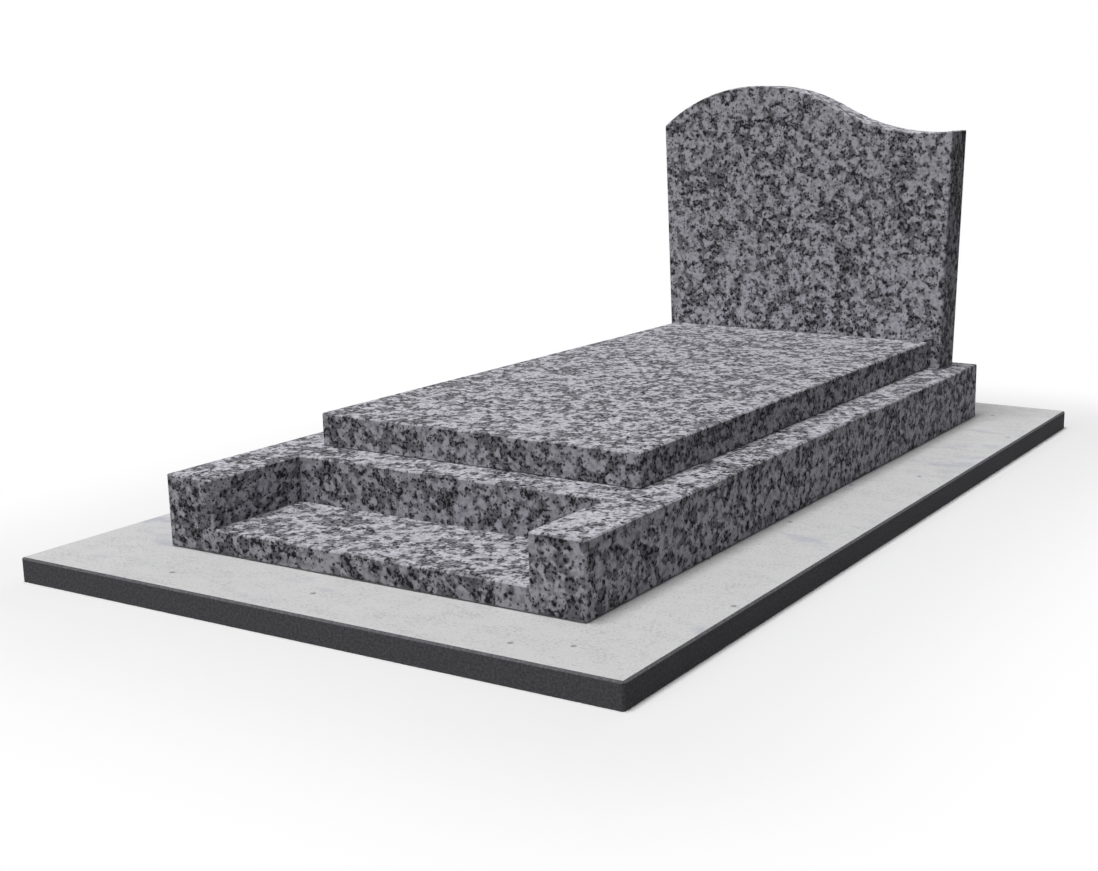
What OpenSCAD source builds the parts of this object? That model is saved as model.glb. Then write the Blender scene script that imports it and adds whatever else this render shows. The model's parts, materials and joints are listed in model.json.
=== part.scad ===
// Granite tomb: a flat tomb slab on a granite kerb with an open planter recess at its foot, and an
// upright headstone with a wave-shaped top at its head. It stands on a one-piece concrete base that
// is open over the grave. Millimetres, +Z up, and the foot of the tomb faces -Y.
// Origin: the centre of the base's underside.

/* [Base] */
// Width of the base that shows all round the kerb
base_margin = 200; // [100:10:400]
// Thickness of the base
base_t = 50; // [40:5:150]
// Chamfer cast along the base's top edges and upright corners
base_chamfer = 4; // [2:1:10]
// Ledge between the kerb's inner faces and the edge of the opening over the grave
grave_ledge = 30; // [10:5:60]

/* [Kerb] */
// Width over both rails
kerb_w = 1000; // [800:10:1200]
// Length of the rails
kerb_l = 2000; // [1600:10:2400]
// Height of the kerb's top above the base
kerb_h = 150; // [100:5:300]
// Thickness of each side rail
rail_t = 120; // [80:5:200]

/* [Planter recess] */
// Depth of the recess, from the kerb's front to the front crosspiece
recess_d = 250; // [150:10:500]
// Height of the recess floor above the base
recess_floor_h = 50; // [30:5:80]
// Strip of the front crosspiece's top that shows between the recess and the slab
crosspiece_show = 95; // [40:5:200]

/* [Tomb slab] */
// Thickness of the slab
slab_t = 70; // [40:5:120]
// How far each side of the slab bears on its rail
side_bearing = 20; // [15:1:40]
// How far each end of the slab bears on its crosspiece
end_bearing = 25; // [15:1:60]

/* [Headstone] */
// Distance from each side of the kerb to the headstone's foot, before the shift
stone_margin = 75; // [30:5:150]
// How far the headstone stands to the right of the middle
stone_shift = 10; // [-20:5:20]
// Distance from the back of the kerb to the back of the headstone
stone_back_gap = 20; // [0:5:60]
// Thickness of the headstone
stone_t = 105; // [80:5:150]
// Lean of each side of the headstone, upwards and outwards, in degrees
stone_lean = 1.65; // [0:0.05:3]
// Height of the crest, the top of the wave, above the headstone's foot
crest_h = 759; // [600:1:1000]
// Radius of the crest's convex arc
crest_r = 477; // [420:1:560]
// Distance of the crest to the left of the headstone's middle
crest_left = 134; // [100:1:180]
// Drop from the crest to the lowest point of the dip
wave_drop = 123; // [80:1:160]
// Distance of the dip's lowest point to the right of the headstone's middle
dip_right = 358; // [320:1:400]

/* [Arrises and joints] */
// Width of the arris ground along the granite's exposed edges
arris = 3; // [1:0.5:6]
// Thickness of the mortar beds under the kerb pieces and the recess floor
bed_t = 3; // [2:1:15]
// Set-back of a mortar bed from the faces of the piece on it
bed_inset = 5; // [3:1:15]
// Thickness of the sealant between the kerb, the slab and the headstone
seal_t = 2; // [1:0.5:5]
// Set-back of the sealant from the edges of its joint
seal_inset = 3; // [2:1:6]

/* [Stainless fixings] */
// Diameter of the two dowels that hold the headstone
dowel_d = 16; // [10:1:25]
// Depth of a dowel in the crosspiece under it, and in the headstone
dowel_depth = 55; // [40:5:80]
// Distance between the dowels
dowel_spacing = 500; // [200:10:600]
// Room for resin around a dowel and above it
dowel_gap = 1; // [0.5:0.5:3]
// Length of each leg of a corner bracket
bracket_leg = 50; // [30:5:70]
// Height of a corner bracket
bracket_h = 60; // [40:5:90]
// Thickness of a corner bracket
bracket_t = 4; // [3:1:8]

/* [Hidden] */
$fn = 240;
// How far a cutter runs past the face that it cuts
over = 1;
granite = "#8e8e93";
concrete = "#cdcdcd";
mortar = "#b3b0a8";
sealant = "#77777b";
stainless = "#c0c2c4";

// Heights
kerb_foot = base_t + bed_t;
kerb_top = base_t + kerb_h;
floor_top = base_t + recess_floor_h;
slab_foot = kerb_top + seal_t;
slab_top = slab_foot + slab_t;
stone_foot = kerb_top + seal_t;

// Places across the tomb, from the middle
kerb_side = kerb_w / 2;
rail_inner = kerb_side - rail_t;
slab_side = rail_inner + side_bearing;
stone_w = kerb_w - 2 * stone_margin;

// Places along the tomb, from foot to head
kerb_front = -kerb_l / 2;
kerb_back = kerb_l / 2;
recess_back = kerb_front + recess_d;
slab_front = recess_back + crosspiece_show;
cavity_front = slab_front + end_bearing;
stone_back = kerb_back - stone_back_gap;
stone_front = stone_back - stone_t;
slab_back = stone_front - seal_t;
cavity_back = slab_back - end_bearing;

// The wave: a convex crest arc and a concave dip arc, which meet on the line through their centres,
// so that they run into each other with no kink. That fixes the dip's radius and the line's lean.
wave_run = crest_left + dip_right;
dip_r = (wave_run * wave_run + wave_drop * wave_drop) / (2 * wave_drop) - crest_r;
crest_centre_h = crest_h - crest_r;
dip_centre_h = crest_h - wave_drop + dip_r;
join_lean = atan2(wave_run, crest_r + dip_r - wave_drop);

// Fixings
dowel_foot = kerb_top - dowel_depth;
dowel_l = 2 * dowel_depth + seal_t;
bracket_foot = (kerb_foot + kerb_top - bracket_h) / 2;

// ---------- forms that several pieces share ----------

// A block given by its low and high corners. Its plan is drawn in place, so that pieces that meet
// share the very same coordinates.
module block(low, high) {
    translate([0, 0, low[2]]) linear_extrude(high[2] - low[2]) polygon([
        [low[0], low[1]], [high[0], low[1]], [high[0], high[1]], [low[0], high[1]]]);
}

// Section of a cutter that grinds an arris along an edge at the origin, and runs past both faces
// beside it. The signs in out lead from the edge into the open.
module arris_section(out, width) {
    tip = width + over;
    polygon([for (p = [[over, over], [-tip, over], [over, -tip]]) [out[0] * p[0], out[1] * p[1]]]);
}

// Cutter for an upright edge, which starts at a point
module cut_upright(start, length, out, width = arris) {
    translate(start) linear_extrude(length) arris_section(out, width);
}

// Cutter for a top edge that starts at a point and runs towards +X, on the -1 or +1 side along Y
module cut_along_x(start, length, side, width = arris) {
    translate(start) rotate([0, 90, 0]) linear_extrude(length) arris_section([-1, side], width);
}

// Cutter for a top edge that starts at a point and runs towards +Y, on the -1 or +1 side along X
module cut_along_y(start, length, side, width = arris) {
    translate(start) rotate([-90, 0, 0]) linear_extrude(length) arris_section([side, -1], width);
}

// A block whose top edges and upright corners are cut back
module arrised_block(low, high, width = arris) {
    size = high - low;
    difference() {
        block(low, high);
        for (side = [-1, 1]) {
            x = side < 0 ? low[0] : high[0];
            y = side < 0 ? low[1] : high[1];
            cut_along_x([low[0] - over, y, high[2]], size[0] + 2 * over, side, width);
            cut_along_y([x, low[1] - over, high[2]], size[1] + 2 * over, side, width);
            for (end = [-1, 1])
                cut_upright([x, end < 0 ? low[1] : high[1], low[2] - over],
                            size[2] + 2 * over, [side, end], width);
        }
    }
}

// ---------- base ----------

module base_slab() {
    base_side = kerb_side + base_margin;
    base_end = kerb_back + base_margin;
    color(concrete) difference() {
        arrised_block([-base_side, -base_end, 0], [base_side, base_end, base_t], base_chamfer);
        block([-rail_inner + grave_ledge, cavity_front + grave_ledge, -over],
              [rail_inner - grave_ledge, cavity_back - grave_ledge, base_t + over]);
    }
}

// Mortar under a piece whose plan runs from low to high
module bed(low, high) {
    color(mortar) block([low[0] + bed_inset, low[1] + bed_inset, base_t],
                        [high[0] - bed_inset, high[1] - bed_inset, kerb_foot]);
}

module right_rail_bed() {
    bed([rail_inner, kerb_front], [kerb_side, kerb_back]);
}

module left_rail_bed() {
    mirror([1, 0, 0]) right_rail_bed();
}

module front_crosspiece_bed() {
    bed([-rail_inner, recess_back], [rail_inner, cavity_front]);
}

module rear_crosspiece_bed() {
    bed([-rail_inner, cavity_back], [rail_inner, kerb_back]);
}

module planter_floor_bed() {
    bed([-rail_inner, kerb_front], [rail_inner, recess_back]);
}

// ---------- kerb ----------

// The outer edges are arrised from end to end, and the inner ones only along the open recess, so
// that the crosspieces and the recess floor butt against full faces.
module right_rail() {
    color(granite) difference() {
        block([rail_inner, kerb_front, kerb_foot], [kerb_side, kerb_back, kerb_top]);
        cut_along_y([kerb_side, kerb_front - over, kerb_top], kerb_l + 2 * over, 1);
        for (end = [-1, 1]) {
            y = end < 0 ? kerb_front : kerb_back;
            cut_along_x([rail_inner - over, y, kerb_top], rail_t + 2 * over, end);
            cut_upright([kerb_side, y, kerb_foot - over], kerb_h + 2 * over, [1, end]);
        }
        cut_along_y([rail_inner, kerb_front - over, kerb_top], recess_d + over, -1);
        cut_upright([rail_inner, kerb_front, floor_top], kerb_h, [-1, -1]);
    }
}

module left_rail() {
    mirror([1, 0, 0]) right_rail();
}

// A piece between the rails, with its long top edge arrised at the front (side -1) or the back (1)
module between_rails(front, back, top, side) {
    difference() {
        block([-rail_inner, front, kerb_foot], [rail_inner, back, top]);
        cut_along_x([-rail_inner - over, side < 0 ? front : back, top], 2 * (rail_inner + over), side);
    }
}

module planter_floor() {
    color(granite) between_rails(kerb_front, recess_back, floor_top, -1);
}

module front_crosspiece() {
    color(granite) between_rails(recess_back, cavity_front, kerb_top, -1);
}

// Carries the headstone, and has a blind hole for each of its dowels
module rear_crosspiece() {
    color(granite) difference() {
        between_rails(cavity_back, kerb_back, kerb_top, 1);
        dowel_holes(dowel_foot, dowel_depth + over);
    }
}

// Stainless angle in a corner inside the kerb. One leg runs along X and the other along Y, each the
// way that its sign in legs says.
module corner_bracket(corner, legs) {
    outline = [[0, 0], [bracket_leg, 0], [bracket_leg, bracket_t],
               [bracket_t, bracket_t], [bracket_t, bracket_leg], [0, bracket_leg]];
    color(stainless) translate([0, 0, bracket_foot]) linear_extrude(bracket_h)
        polygon([for (p = outline) [corner[0] + legs[0] * p[0], corner[1] + legs[1] * p[1]]]);
}

module front_left_bracket() {
    corner_bracket([-rail_inner, cavity_front], [1, 1]);
}

module front_right_bracket() {
    corner_bracket([rail_inner, cavity_front], [-1, 1]);
}

module rear_left_bracket() {
    corner_bracket([-rail_inner, cavity_back], [1, -1]);
}

module rear_right_bracket() {
    corner_bracket([rail_inner, cavity_back], [-1, -1]);
}

// ---------- tomb slab ----------

// One bead of sealant all round, between the slab and the kerb
module slab_seal() {
    color(sealant) difference() {
        block([-slab_side + seal_inset, slab_front + seal_inset, kerb_top],
              [slab_side - seal_inset, slab_back - seal_inset, slab_foot]);
        block([-rail_inner - seal_inset, cavity_front - seal_inset, kerb_top - over],
              [rail_inner + seal_inset, cavity_back + seal_inset, slab_foot + over]);
    }
}

module tomb_slab() {
    color(granite) arrised_block([-slab_side, slab_front, slab_foot], [slab_side, slab_back, slab_top]);
}

// Sealant between the head of the slab and the headstone, kept below the slab's arris
module back_seal() {
    side = slab_side - arris - seal_inset;
    top = slab_top - arris - seal_inset;
    color(sealant) block([-side, slab_back, slab_foot], [side, stone_front, top]);
}

// ---------- headstone ----------

// Stands what follows at a dowel's place, on a height: side -1 is the left dowel, 1 the right
module at_dowel(side, height) {
    x = stone_shift + side * dowel_spacing / 2;
    y = (stone_front + stone_back) / 2;
    translate([x, y, height]) children();
}

module dowel_holes(height, depth) {
    for (side = [-1, 1])
        at_dowel(side, height) cylinder(d = dowel_d + 2 * dowel_gap, h = depth);
}

module headstone_seal() {
    color(sealant) difference() {
        block([stone_shift - stone_w / 2 + seal_inset, stone_front + seal_inset, kerb_top],
              [stone_shift + stone_w / 2 - seal_inset, stone_back - seal_inset, stone_foot]);
        dowel_holes(kerb_top - over, seal_t + 2 * over);
    }
}

module left_dowel() {
    color(stainless) at_dowel(-1, dowel_foot) cylinder(d = dowel_d, h = dowel_l);
}

module right_dowel() {
    color(stainless) at_dowel(1, dowel_foot) cylinder(d = dowel_d, h = dowel_l);
}

// A drum lying through the headstone's thickness. Its middle is at x, and it reaches the height h
// from below (side -1) or from above (side 1). Its coned ends leave the arris along the wave.
module drum(x, h, side, r) {
    end_r = r + side * (arris + over);
    translate([x, 0, h]) translate([0, 0, side * r]) rotate([-90, 0, 0]) rotate_extrude() polygon([
        [0, -over], [end_r, -over], [r, arris],
        [r, stone_t - arris], [end_r, stone_t + over], [0, stone_t + over]]);
}

// Everything on one side of the plane through the two arcs' centres: -1 is left, 1 is right
module beside_join(side) {
    reach = stone_w + crest_h;
    translate([-crest_left, 0, crest_centre_h]) rotate([0, join_lean, 0])
        block([side < 0 ? -reach : 0, -over, -reach], [side < 0 ? 0 : reach, stone_t + over, reach]);
}

// The headstone before its top is cut: both sides lean outwards, and their edges are arrised
module leaning_sides() {
    top_h = crest_h + over;
    spread = top_h * tan(stone_lean);
    difference() {
        translate([0, stone_t, 0]) rotate([90, 0, 0]) linear_extrude(stone_t) polygon([
            [-stone_w / 2, 0], [stone_w / 2, 0],
            [stone_w / 2 + spread, top_h], [-stone_w / 2 - spread, top_h]]);
        for (side = [-1, 1])
            translate([side * stone_w / 2, 0, 0]) rotate([0, side * stone_lean, 0])
                for (end = [-1, 1])
                    cut_upright([0, end < 0 ? 0 : stone_t, -crest_h / 2], 2 * crest_h, [side, end]);
    }
}

// Left of the join: under the crest's drum, or lower than the middle of the drum
module crest_side() {
    intersection() {
        leaning_sides();
        beside_join(-1);
        union() {
            drum(-crest_left, crest_h, -1, crest_r);
            block([-stone_w, -over, -over], [stone_w, stone_t + over, crest_centre_h]);
        }
    }
}

// Right of the join: what the dip's drum leaves
module dip_side() {
    difference() {
        intersection() {
            leaning_sides();
            beside_join(1);
        }
        drum(dip_right, crest_h - wave_drop, 1, dip_r);
    }
}

// Cutter that grinds the arris across the thickness where a leaning side meets an arc of the wave,
// given by its centre and radius. The arc bulges upwards (bulge 1) or downwards (bulge -1).
module cut_corner(side, centre, r, bulge) {
    foot = [side * stone_w / 2, 0];
    up_side = [side * sin(stone_lean), cos(stone_lean)];
    middle = (centre - foot) * up_side;
    half_chord = sqrt(r * r + middle * middle - (centre - foot) * (centre - foot));
    corner = foot + (middle + bulge * half_chord) * up_side;
    out_of_side = [side * cos(stone_lean), -sin(stone_lean)];
    out_of_wave = bulge * (corner - centre) / r;
    out = out_of_side + out_of_wave;
    depth = arris * norm(out_of_side - out_of_wave) / 2;
    reach = 4 * arris;
    translate([corner[0], 0, corner[1]]) rotate([0, atan2(out[0], out[1]), 0])
        block([-reach, -over, -depth], [reach, stone_t + over, reach]);
}

module headstone() {
    color(granite) difference() {
        translate([stone_shift, stone_front, stone_foot]) difference() {
            union() {
                crest_side();
                dip_side();
            }
            cut_corner(-1, [-crest_left, crest_centre_h], crest_r, 1);
            cut_corner(1, [dip_right, dip_centre_h], dip_r, -1);
        }
        dowel_holes(stone_foot - over, dowel_depth + dowel_gap + over);
    }
}

base_slab();
left_rail_bed();
right_rail_bed();
front_crosspiece_bed();
rear_crosspiece_bed();
planter_floor_bed();
left_rail();
right_rail();
front_crosspiece();
rear_crosspiece();
planter_floor();
front_left_bracket();
front_right_bracket();
rear_left_bracket();
rear_right_bracket();
slab_seal();
tomb_slab();
back_seal();
headstone_seal();
left_dowel();
right_dowel();
headstone();
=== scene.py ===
"""Looks of a granite tomb: speckled satin granite on a cast concrete base, in soft studio light."""

import json
import math

import bpy
from mathutils import Euler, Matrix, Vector

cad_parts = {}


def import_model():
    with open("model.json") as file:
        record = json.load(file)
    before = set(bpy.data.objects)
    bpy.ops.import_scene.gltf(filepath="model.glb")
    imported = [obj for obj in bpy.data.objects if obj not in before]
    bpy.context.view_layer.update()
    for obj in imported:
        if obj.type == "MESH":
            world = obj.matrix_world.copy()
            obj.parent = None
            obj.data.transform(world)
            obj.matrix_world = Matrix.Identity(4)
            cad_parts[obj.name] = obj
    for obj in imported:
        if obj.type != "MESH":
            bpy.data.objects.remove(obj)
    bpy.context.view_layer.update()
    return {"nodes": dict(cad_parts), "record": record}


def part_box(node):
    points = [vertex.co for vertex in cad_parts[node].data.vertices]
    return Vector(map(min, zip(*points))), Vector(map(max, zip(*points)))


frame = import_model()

# ---------- the tomb's own places, in metres ----------

BASE_LOW, BASE_HIGH = (Vector(corner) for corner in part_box("base_slab"))

# ---------- colours, as linear RGB ----------

WHITE = (1, 1, 1)
GRANITE_LIGHT = (0.64, 0.632, 0.688)
GRANITE_GROUND = (0.42, 0.415, 0.452)
# what the clouds, the grains and the painted shade low on the upright faces let through of the colour below
# them
GRANITE_VEIL = (0.52, 0.52, 0.525)
GRANITE_CLOUD = (0.36, 0.36, 0.365)
GRANITE_GRAIN = (0.20, 0.20, 0.205)
# painted shade for the upright faces low down, just above the base
GRANITE_PAINTED_SHADE = (0.66, 0.66, 0.66)
GRANITE_DULL = (0.40, 0.395, 0.435)
CONCRETE_PALE = (0.665, 0.665, 0.669)
CONCRETE_MOTTLED = (0.50, 0.50, 0.506)
CONCRETE_SMUDGE = (0.50, 0.505, 0.56)
# painted shade inside the pits of the floated top
CONCRETE_PIT_SHADE = (0.22, 0.22, 0.27)
CONCRETE_DARK = (0.118, 0.118, 0.127)
CONCRETE_EDGE = (0.200, 0.200, 0.214)
MORTAR = (0.40, 0.39, 0.37)
MORTAR_DAMP = (0.31, 0.30, 0.285)
MORTAR_GRIT = (0.20, 0.195, 0.185)
SEALANT = (0.13, 0.13, 0.135)
SEALANT_DUST = (0.20, 0.20, 0.20)
STEEL = (0.62, 0.62, 0.63)
STEEL_DULL = (0.48, 0.48, 0.49)

# the range that most of a soft noise's values lie in, and a wider one for slower changes
MIDDLE = (0.35, 0.65)
WIDE_MIDDLE = (0.3, 0.7)


# ---------- helpers for node materials ----------

class Nodes:
    """Adds nodes to a material or a world, and links them as they are named. The shift moves every noise
    to another part of its pattern."""

    def __init__(self, owner, shift=0.0):
        self.owner = owner
        self.shift = shift
        owner.use_nodes = True
        self.tree = owner.node_tree
        self.place = self.add("ShaderNodeTexCoord").outputs["Object"]

    def add(self, kind, **values):
        """A node, with its properties and its inputs set by name. An output given as a value is linked."""
        node = self.tree.nodes.new(kind)
        for key, value in values.items():
            if hasattr(node, key) and key not in node.inputs:
                setattr(node, key, value)
            else:
                self.give(node.inputs[key], value)
        return node

    def give(self, socket, value):
        """Links a socket to an output, or sets it to a plain value."""
        if isinstance(value, bpy.types.NodeSocket):
            self.tree.links.new(value, socket)
        else:
            socket.default_value = value

    def give_in_order(self, node, values):
        """Gives a node's first sockets their values, in the order of the sockets."""
        for socket, value in zip(node.inputs, values):
            self.give(socket, value)

    def math(self, operation, *values, clamp=False):
        """A calculation with numbers, each plain or an output."""
        node = self.add("ShaderNodeMath", operation=operation, use_clamp=clamp)
        self.give_in_order(node, values)
        return node.outputs["Value"]

    def vector(self, operation, *values, output="Vector"):
        """A calculation with vectors, each plain or an output."""
        node = self.add("ShaderNodeVectorMath", operation=operation)
        self.give_in_order(node, values)
        return node.outputs[output]

    def total(self, *parts):
        """The sum of outputs, each with its weight."""
        result = 0.0
        for value, weight in parts:
            result = self.math("MULTIPLY_ADD", value, weight, result)
        return result

    def largest(self, first, *others):
        """The largest of some outputs."""
        for other in others:
            first = self.math("MAXIMUM", first, other)
        return first

    def facing(self):
        """Which way the real face points: its normal's X, Y and Z."""
        normal = self.add("ShaderNodeNewGeometry").outputs["True Normal"]
        return self.add("ShaderNodeSeparateXYZ", Vector=normal).outputs

    def noise(self, size, detail=2.0, roughness=0.5, seed=0.0, warp=0.0, place=None):
        """Soft noise, about 0.5 on average, with features of a size in metres."""
        node = self.add("ShaderNodeTexNoise", noise_dimensions="4D", Scale=1.0 / size, Detail=detail,
                        Roughness=roughness, Distortion=warp, W=seed + self.shift,
                        Vector=place or self.place)
        return node.outputs["Fac"]

    def cells(self, size, across="3D"):
        """Cells of a size in metres: their outputs are the distance from a cell's middle, in cell widths,
        and a colour for each cell. Cells across "2D" stand upright, so all of them show on a level face."""
        place = self.vector("ADD", self.place, (self.shift,) * 3)
        return self.add("ShaderNodeTexVoronoi", voronoi_dimensions=across, Scale=1.0 / size,
                        Vector=place).outputs

    def ramp(self, value, low, high, to_low=0.0, to_high=1.0):
        """Maps a value smoothly from the range low..high to the range to_low..to_high."""
        node = self.tree.nodes.new("ShaderNodeMapRange")
        node.interpolation_type = "SMOOTHSTEP"
        for name, given in (("Value", value), ("From Min", low), ("From Max", high),
                            ("To Min", to_low), ("To Max", to_high)):
            self.give(node.inputs[name], given)
        return node.outputs["Result"]

    def fall(self, value, low, high):
        """1 up to a low value and 0 from a high one, smooth between them."""
        return self.ramp(value, low, high, 1.0, 0.0)

    def blend(self, factor, low, high, kind="MIX"):
        """A colour between two colours, each given as three numbers or as an output."""
        node = self.add("ShaderNodeMix", data_type="RGBA", blend_type=kind, Factor=factor)
        colours = [socket for socket in node.inputs if socket.type == "RGBA"]
        for socket, colour in zip(colours, (low, high)):
            self.give(socket, colour if isinstance(colour, bpy.types.NodeSocket) else (*colour, 1.0))
        return next(socket for socket in node.outputs if socket.type == "RGBA")

    def product(self, one, other):
        """A colour multiplied by another."""
        return self.blend(1.0, one, other, kind="MULTIPLY")

    def bump(self, height, depth, strength=1.0):
        """A bump normal from a height between 0 and 1, which stands for a depth in metres."""
        return self.add("ShaderNodeBump", Strength=strength, Distance=depth, Height=height).outputs["Normal"]

    def seen(self):
        """1 for rays that look at a surface or see it in a gloss or through glass, and 0 for rays that
        gather light."""
        path = self.add("ShaderNodeLightPath").outputs
        return self.largest(path["Is Camera Ray"], path["Is Glossy Ray"], path["Is Transmission Ray"])

    def mixed(self, factor, low, high):
        """A shader between two shaders."""
        node = self.add("ShaderNodeMixShader")
        self.give_in_order(node, (factor, low, high))
        return node.outputs["Shader"]

    def finish(self, **inputs):
        """The material, once its shader has its inputs."""
        for name, value in inputs.items():
            self.give(self.tree.nodes["Principled BSDF"].inputs[name.replace("_", " ")], value)
        return self.owner


# ---------- granite ----------

# how far apart in the noises two pieces are cut
CUT_APART = 10.0
# from which to which level of its noise each feature of the pattern comes in
CLOUD_EDGE = (0.71, 0.85)
GRAIN_EDGE = (0.86, 0.92)
FLECK_EDGE = (0.66, 0.76)
VEIL_EDGE = (0.35, 0.60)
# the level at the rim of a cloud, and how fast the rim's pull on the grains falls off beside it
RIM_LEVEL = 0.855
RIM_FALL = 7.0
# single round grains: the size of their cells in metres, from which draw a cell holds one, a grain's
# edge in cell widths, and how dark the faintest one is
ROUND_CELL = 0.0072
ROUND_CHOSEN = (0.78, 0.80)
ROUND_EDGE = (0.77, 0.85)
ROUND_FAINTEST = 0.7
# how high above the base the painted shade on upright faces reaches, in metres
PAINTED_SHADE_HEIGHT = 0.12
# between which parts of its normal a face turns from upright to level, from arris to plain face, and
# from underside to upright
LEVEL_TURN = (0.3, 0.8)
ARRIS_TURN = (0.71, 0.76)
UNDERSIDE_TURN = (-0.95, -0.80)
# how much of the dull colour ground arrises and sawn undersides take
ARRIS_DULL = 0.15
SAWN_DULL = 0.35
# roughness of the stone and of its grains, and what a wholly dull face would add
STONE_ROUGHNESS = 0.42
GRAIN_ROUGHNESS = 0.50
DULL_ROUGHNESS = 1.1
# specular level, and the relief's height in metres
GRANITE_GLOSS = 0.002
GRANITE_RELIEF = 0.0002


def granite(piece, number):
    """Speckled granite: a light ground, soft grey clouds with ragged edges, dark grains that gather along
    the rims of the clouds, and single round grains. Each numbered piece is cut from its own part of the
    block, so the pattern breaks at the joints. Faces are satin, with almost no gloss. Ground arrises are
    a little paler and duller, and undersides are as sawn. Upright faces are painted a little darker low
    down, just above the base: painted shade that holds back the light the pale base throws on to them."""
    n = Nodes(bpy.data.materials.new("granite_" + piece), shift=CUT_APART * number)
    drift = n.noise(size=0.085, detail=1.0, seed=195.1)
    clouds = n.noise(size=0.021, detail=1.5, seed=197.1)
    mottle = n.noise(size=0.0105, detail=2.0, seed=199.1)
    grains = n.noise(size=0.0083, detail=1.0, seed=201.1)
    flecks = n.noise(size=0.0052, detail=0.5, seed=205.1)

    # soft clouds, ragged where the mottle crosses their edges, and closer together where they drift
    body = n.total((clouds, 1.0), (mottle, 0.30), (drift, 0.25))
    cloud = n.ramp(body, *CLOUD_EDGE)
    # grains are thick along the rims of the clouds, and thin in the open ground
    off_rim = n.math("ABSOLUTE", n.math("SUBTRACT", body, RIM_LEVEL))
    rim = n.math("MULTIPLY_ADD", off_rim, -RIM_FALL, 1.0, clamp=True)
    gathered = n.total((grains, 1.0), (flecks, 0.30), (rim, 0.09), (cloud, 0.03), (drift, 0.12))
    grain = n.ramp(gathered, *GRAIN_EDGE)
    fleck = n.ramp(n.total((flecks, 1.0), (rim, 0.03)), *FLECK_EDGE)
    # and here and there one stands by itself, round and ragged, most of them along the rims
    cells = n.cells(ROUND_CELL)
    cell = n.add("ShaderNodeSeparateColor", Color=cells["Color"]).outputs
    chosen = n.ramp(n.total((cell["Red"], 1.0), (rim, 0.32), (cloud, 0.10)), *ROUND_CHOSEN)
    round_grain = n.fall(n.total((cells["Distance"], 1.0), (flecks, 0.8)), *ROUND_EDGE)
    darkness = n.ramp(cell["Green"], 0.0, 1.0, ROUND_FAINTEST, 1.0)
    single = n.math("MULTIPLY", n.math("MULTIPLY", round_grain, chosen), darkness)
    dark = n.largest(grain, fleck, single)

    ground = n.blend(n.ramp(mottle, *MIDDLE), GRANITE_LIGHT, GRANITE_GROUND)
    veil = n.blend(n.ramp(grains, *VEIL_EDGE), GRANITE_VEIL, GRANITE_CLOUD)
    clouded = n.product(n.blend(cloud, WHITE, veil), ground)
    colour = n.product(n.blend(dark, WHITE, GRANITE_GRAIN), clouded)

    # painted shade: upright faces are painted darker low down, just above the base, to hold back the light
    # that the pale base throws on to them
    facing = n.facing()
    height = n.add("ShaderNodeSeparateXYZ", Vector=n.place).outputs["Z"]
    ragged_height = n.total((drift, 0.04), (height, 1.0))
    painted_shade = n.fall(ragged_height, BASE_HIGH.z, BASE_HIGH.z + PAINTED_SHADE_HEIGHT)
    painted_shade = n.math("MULTIPLY", painted_shade, n.fall(facing["Z"], *LEVEL_TURN))
    colour = n.product(n.blend(painted_shade, WHITE, GRANITE_PAINTED_SHADE), colour)

    # arrises are ground at 45 degrees, so none of their normal's parts is near 1
    squarest = n.largest(*(n.math("ABSOLUTE", facing[axis]) for axis in "XYZ"))
    arris = n.fall(squarest, *ARRIS_TURN)
    sawn = n.fall(facing["Z"], *UNDERSIDE_TURN)
    dull = n.largest(n.math("MULTIPLY", arris, ARRIS_DULL), n.math("MULTIPLY", sawn, SAWN_DULL))
    speckled = n.ramp(dark, 0.0, 1.0, STONE_ROUGHNESS, GRAIN_ROUGHNESS)
    relief = n.total((dark, -0.5), (flecks, 0.5))
    return n.finish(Base_Color=n.blend(dull, colour, GRANITE_DULL),
                    Roughness=n.total((dull, DULL_ROUGHNESS), (speckled, 1.0)),
                    Specular_IOR_Level=GRANITE_GLOSS,
                    Normal=n.bump(relief, GRANITE_RELIEF, strength=0.2))


# ---------- concrete ----------

# the trowel's strokes run across the base, and draw the pattern out along X
TROWELLED = (0.55, 1.0, 1.0)
# from which to which level of its noise each feature comes in
SHADE_EDGE = (0.70, 1.00)
SMUDGE_EDGE = (0.54, 0.66)
SMUDGE_PATCHES = (0.35, 0.60)
GRAVEL_EDGE = (0.45, 0.85)
# pits: how far apart they are in metres, the edge of a pit in those widths, and how much of the painted
# shade in it shows
PIT_CELL = 0.24
PIT_EDGE = (0.034, 0.050)
PIT_SHADE_SHARE = 0.8
# air bubbles in the cast sides: the same, and where there are any
BUBBLE_CELL = 0.009
BUBBLE_EDGE = (0.10, 0.22)
BUBBLE_SHADE_SHARE = 0.6
BUBBLED = (0.50, 0.62)
# painted shade in a bubble: its colour, as a share of the colour round it
BUBBLE_SHADE = 0.35
# between which parts of its normal a face turns from cast side to floated top
TOP_TURN = (0.8, 0.95)
CONCRETE_ROUGHNESS = (0.75, 0.9)
CONCRETE_GLOSS = 0.15
CONCRETE_RELIEF = 0.0012


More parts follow.
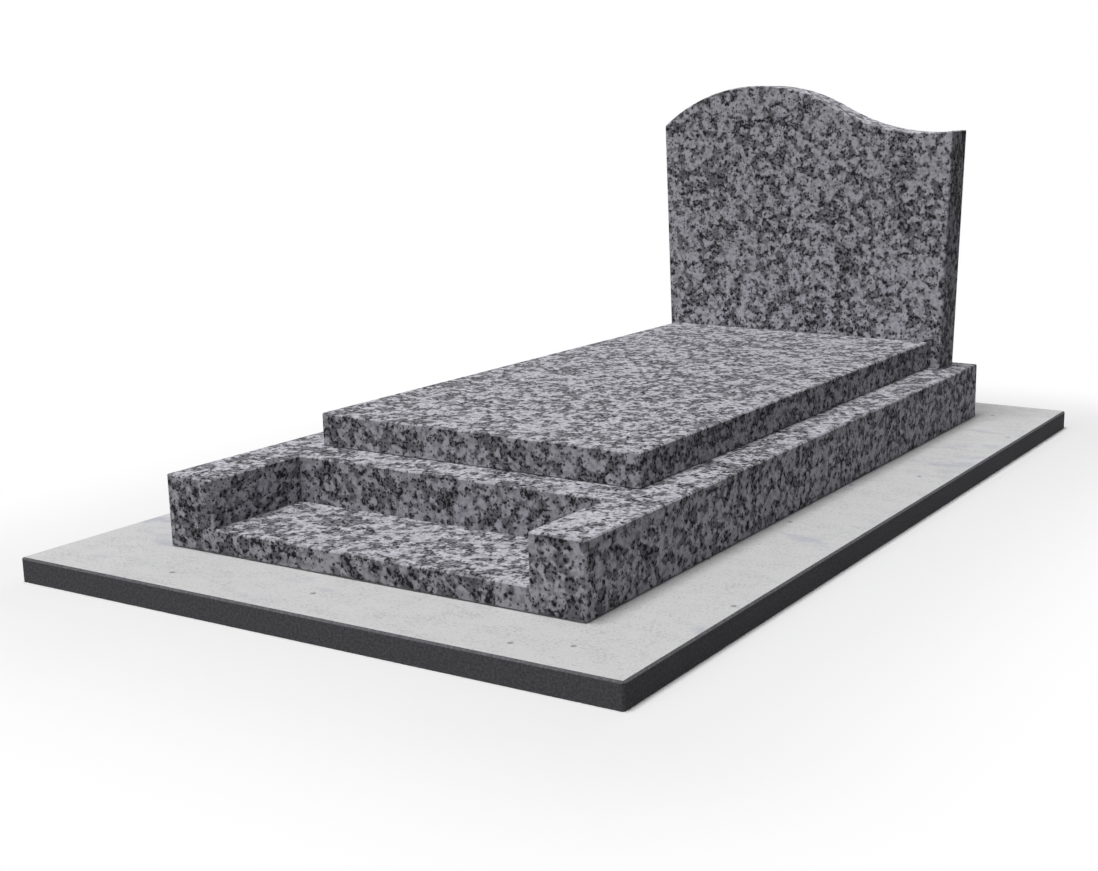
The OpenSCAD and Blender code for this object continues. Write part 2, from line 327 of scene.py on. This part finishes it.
def concrete():
    """Cast concrete: a pale floated top with faint bluish smudges, trowel streaks and small pits, and dark
    sides and underside as they came from the formwork, with small air bubbles. The pits and bubbles are
    painted dark inside as painted shade."""
    n = Nodes(bpy.data.materials.new("cast_concrete"))
    streaked = n.vector("MULTIPLY", n.place, TROWELLED)
    smudges = n.noise(size=0.16, detail=3.0, roughness=0.55, seed=2.0, warp=0.6, place=streaked)
    mottle = n.noise(size=0.040, detail=6.0, roughness=0.65, seed=4.0, place=streaked)
    sand = n.noise(size=0.0042, detail=2.0, roughness=0.6, seed=6.0)

    # the floated top
    shade = n.ramp(n.total((mottle, 0.5), (sand, 1.0)), *SHADE_EDGE)
    floated = n.blend(shade, CONCRETE_PALE, CONCRETE_MOTTLED)
    smudge = n.math("MULTIPLY", n.ramp(smudges, *SMUDGE_EDGE), n.ramp(mottle, *SMUDGE_PATCHES))
    floated = n.blend(smudge, floated, CONCRETE_SMUDGE)
    # ragged pits where the trowel lifted a bit of grit, painted dark inside as painted shade
    pit_cells = n.cells(PIT_CELL, across="2D")
    hole = n.fall(n.total((pit_cells["Distance"], 1.0), (sand, 0.04)), *PIT_EDGE)
    floated = n.blend(n.math("MULTIPLY", hole, PIT_SHADE_SHARE), floated, CONCRETE_PIT_SHADE)

    # the cast sides, with small air bubbles, painted dark inside as painted shade
    bubble = n.fall(n.cells(BUBBLE_CELL)["Distance"], *BUBBLE_EDGE)
    bubbled = n.ramp(n.noise(size=0.060, detail=1.0, seed=8.0), *BUBBLED)
    pores = n.math("MULTIPLY", bubble, bubbled)
    gravel = n.noise(size=0.0050, detail=1.5, roughness=0.6, seed=7.0)
    grainy = n.ramp(n.total((gravel, 1.0), (mottle, 0.25)), *GRAVEL_EDGE)
    cast = n.blend(grainy, CONCRETE_DARK, CONCRETE_EDGE)
    in_bubble_shade = tuple(BUBBLE_SHADE * part for part in CONCRETE_DARK)
    cast = n.blend(n.math("MULTIPLY", pores, BUBBLE_SHADE_SHARE), cast, in_bubble_shade)

    top = n.ramp(n.facing()["Z"], *TOP_TURN)
    relief = n.total((sand, 0.5), (mottle, 0.5), (hole, -1.0), (pores, -0.6))
    return n.finish(Base_Color=n.blend(top, cast, floated),
                    Roughness=n.ramp(mottle, *WIDE_MIDDLE, *CONCRETE_ROUGHNESS),
                    Specular_IOR_Level=CONCRETE_GLOSS,
                    Normal=n.bump(relief, CONCRETE_RELIEF, strength=0.35))


# ---------- mortar, sealant and stainless steel ----------

GRIT_EDGE = (0.52, 0.70)
MORTAR_ROUGHNESS = 0.92
MORTAR_GLOSS = 0.1
MORTAR_RELIEF = 0.0006
DUST_EDGE = (0.45, 0.75)
SEALANT_ROUGHNESS = (0.42, 0.62)
SEALANT_GLOSS = 0.3
SEALANT_RELIEF = 0.0004
STEEL_ROUGHNESS = (0.26, 0.42)
STEEL_RELIEF = 0.0001
# the steel is brushed sideways, which draws its scratches out along X and Y
BRUSHED = (0.04, 0.04, 1.0)


def mortar():
    """Bedding mortar: sandy, and patchy from drying."""
    n = Nodes(bpy.data.materials.new("bedding_mortar"))
    sand = n.noise(size=0.0020, detail=3.0, roughness=0.65, seed=11.0)
    patches = n.noise(size=0.030, detail=2.0, seed=12.0)
    colour = n.blend(n.ramp(patches, *MIDDLE), MORTAR, MORTAR_DAMP)
    colour = n.blend(n.ramp(sand, *GRIT_EDGE), colour, MORTAR_GRIT)
    return n.finish(Base_Color=colour, Roughness=MORTAR_ROUGHNESS, Specular_IOR_Level=MORTAR_GLOSS,
                    Normal=n.bump(sand, MORTAR_RELIEF, strength=0.6))


def sealant():
    """Tooled joint sealant: dark, smooth and slightly uneven, with a little dust."""
    n = Nodes(bpy.data.materials.new("joint_sealant"))
    dust = n.noise(size=0.0060, detail=3.0, roughness=0.6, seed=13.0)
    waves = n.noise(size=0.0120, detail=1.0, seed=14.0)
    return n.finish(Base_Color=n.blend(n.ramp(dust, *DUST_EDGE), SEALANT, SEALANT_DUST),
                    Roughness=n.ramp(dust, *WIDE_MIDDLE, *SEALANT_ROUGHNESS),
                    Specular_IOR_Level=SEALANT_GLOSS,
                    Normal=n.bump(waves, SEALANT_RELIEF, strength=0.5))


def stainless_steel():
    """Brushed stainless steel, with fine scratches along the brushing."""
    n = Nodes(bpy.data.materials.new("stainless_steel"))
    brushed = n.vector("MULTIPLY", n.place, BRUSHED)
    scratches = n.noise(size=0.0008, detail=3.0, roughness=0.6, seed=15.0, place=brushed)
    return n.finish(Base_Color=n.blend(n.ramp(scratches, *WIDE_MIDDLE), STEEL_DULL, STEEL), Metallic=1.0,
                    Roughness=n.ramp(scratches, *WIDE_MIDDLE, *STEEL_ROUGHNESS),
                    Normal=n.bump(scratches, STEEL_RELIEF, strength=0.4))


# ---------- finishes on the tomb's own pieces ----------

def dress():
    """Gives each piece of the tomb the finish that the record names for it."""
    shared = {
        "concrete": concrete(),
        "mortar": mortar(),
        "sealant": sealant(),
        "stainless_steel": stainless_steel(),
    }
    slots = {part["node"]: part["material_slot"] for part in frame["record"]["subparts"]}
    stones = [node for node, slot in slots.items() if slot == "granite"]
    for node, slot in slots.items():
        materials = frame["nodes"][node].data.materials
        materials.clear()
        materials.append(granite(node, stones.index(node)) if slot == "granite" else shared[slot])


# ---------- studio ----------

# what light from the surroundings reaches the stone, as a share of plain white
WORLD_LEVEL = 0.14
# how much of its light the floor shows, and how much it throws back on to the stone
FLOOR_WHITE = 0.96
FLOOR_BOUNCE = 0.10
# how far from the base the floor starts to fade to the white background, and where it has faded
FADE_START = 0.05
FADE_END = 0.65
# how far the floor reaches from the middle, and how far it lies below the base, so that they don't touch
FLOOR_REACH = 40.0
FLOOR_DROP = 0.0005

# the camera that fits the photo's straight edges: its lens and sensor in millimetres, how far the picture
# is shifted in widths, and how many degrees it looks down and turns left
CAMERA_PLACE = (1.929, -3.159, 0.955)
CAMERA_LENS = 51.47
CAMERA_SENSOR = 36.0
CAMERA_SHIFT = -0.1527
CAMERA_DOWN = 12.48
CAMERA_LEFT = 28.51


def distance_from_base(n):
    """How far a point of the floor is from the edge of the base, which lies about the middle, in metres."""
    beyond = n.vector("SUBTRACT", n.vector("ABSOLUTE", n.place), BASE_HIGH)
    return n.vector("LENGTH", n.vector("MAXIMUM", beyond, (0.0, 0.0, 0.0)), output="Value")


def world():
    """White surroundings, which light the stone less than they show."""
    world = bpy.data.worlds.new("studio")
    n = Nodes(world)
    background = n.tree.nodes["Background"].inputs
    n.give(background["Color"], (*WHITE, 1.0))
    n.give(background["Strength"], n.math("MULTIPLY_ADD", n.seen(), 1.0 - WORLD_LEVEL, WORLD_LEVEL))
    bpy.context.scene.world = world


def floor():
    """A plain pale floor, which holds the tomb's shadow and fades to the white background beyond it."""
    mesh = bpy.data.meshes.new("floor")
    r = FLOOR_REACH
    mesh.from_pydata([(-r, -r, 0), (r, -r, 0), (r, r, 0), (-r, r, 0)], [], [(0, 1, 2, 3)])
    floor = bpy.data.objects.new("floor", mesh)
    floor.location.z = BASE_LOW.z - FLOOR_DROP
    bpy.context.collection.objects.link(floor)

    n = Nodes(bpy.data.materials.new("floor"))
    n.tree.nodes.remove(n.tree.nodes["Principled BSDF"])
    shown, bounce = (n.add("ShaderNodeBsdfDiffuse", Color=(level,) * 3 + (1.0,)).outputs["BSDF"]
                     for level in (FLOOR_WHITE, FLOOR_BOUNCE))
    white = n.add("ShaderNodeEmission", Color=(*WHITE, 1.0), Strength=1.0).outputs["Emission"]
    far = n.ramp(distance_from_base(n), FADE_START, FADE_END)
    surface = n.mixed(n.seen(), bounce, n.mixed(far, shown, white))
    n.give(n.tree.nodes["Material Output"].inputs["Surface"], surface)
    mesh.materials.append(n.owner)


def softbox(name, place, aim, size, power):
    """A square area lamp of a size in metres and a power in watts, which shines from a place to an aim."""
    data = bpy.data.lights.new(name, "AREA")
    data.shape = "SQUARE"
    data.size = size
    data.energy = power
    lamp = bpy.data.objects.new(name, data)
    lamp.location = place
    lamp.rotation_euler = (Vector(aim) - Vector(place)).to_track_quat("-Z", "Y").to_euler()
    bpy.context.collection.objects.link(lamp)


def camera():
    """The camera at the viewing angle: right of the tomb's foot, at about the height of its crest."""
    data = bpy.data.cameras.new("camera")
    data.lens = CAMERA_LENS
    data.sensor_width = CAMERA_SENSOR
    data.shift_x = CAMERA_SHIFT
    camera = bpy.data.objects.new("camera", data)
    camera.location = CAMERA_PLACE
    camera.rotation_euler = Euler((math.radians(90 - CAMERA_DOWN), 0, math.radians(CAMERA_LEFT)))
    bpy.context.collection.objects.link(camera)
    bpy.context.scene.camera = camera


dress()
camera()
world()
floor()
softbox("top_softbox", place=(-1.0, -2.4, 14.0), aim=(0, 0, 0), size=5.0, power=1530)
softbox("front_softbox", place=(-3.0, -18.0, 5.0), aim=(0, 0, 0.5), size=8.0, power=370)
softbox("back_softbox", place=(-3.0, 18.0, 5.0), aim=(0, 0, 0.5), size=8.0, power=445)
bpy.context.scene.view_settings.view_transform = "Standard"
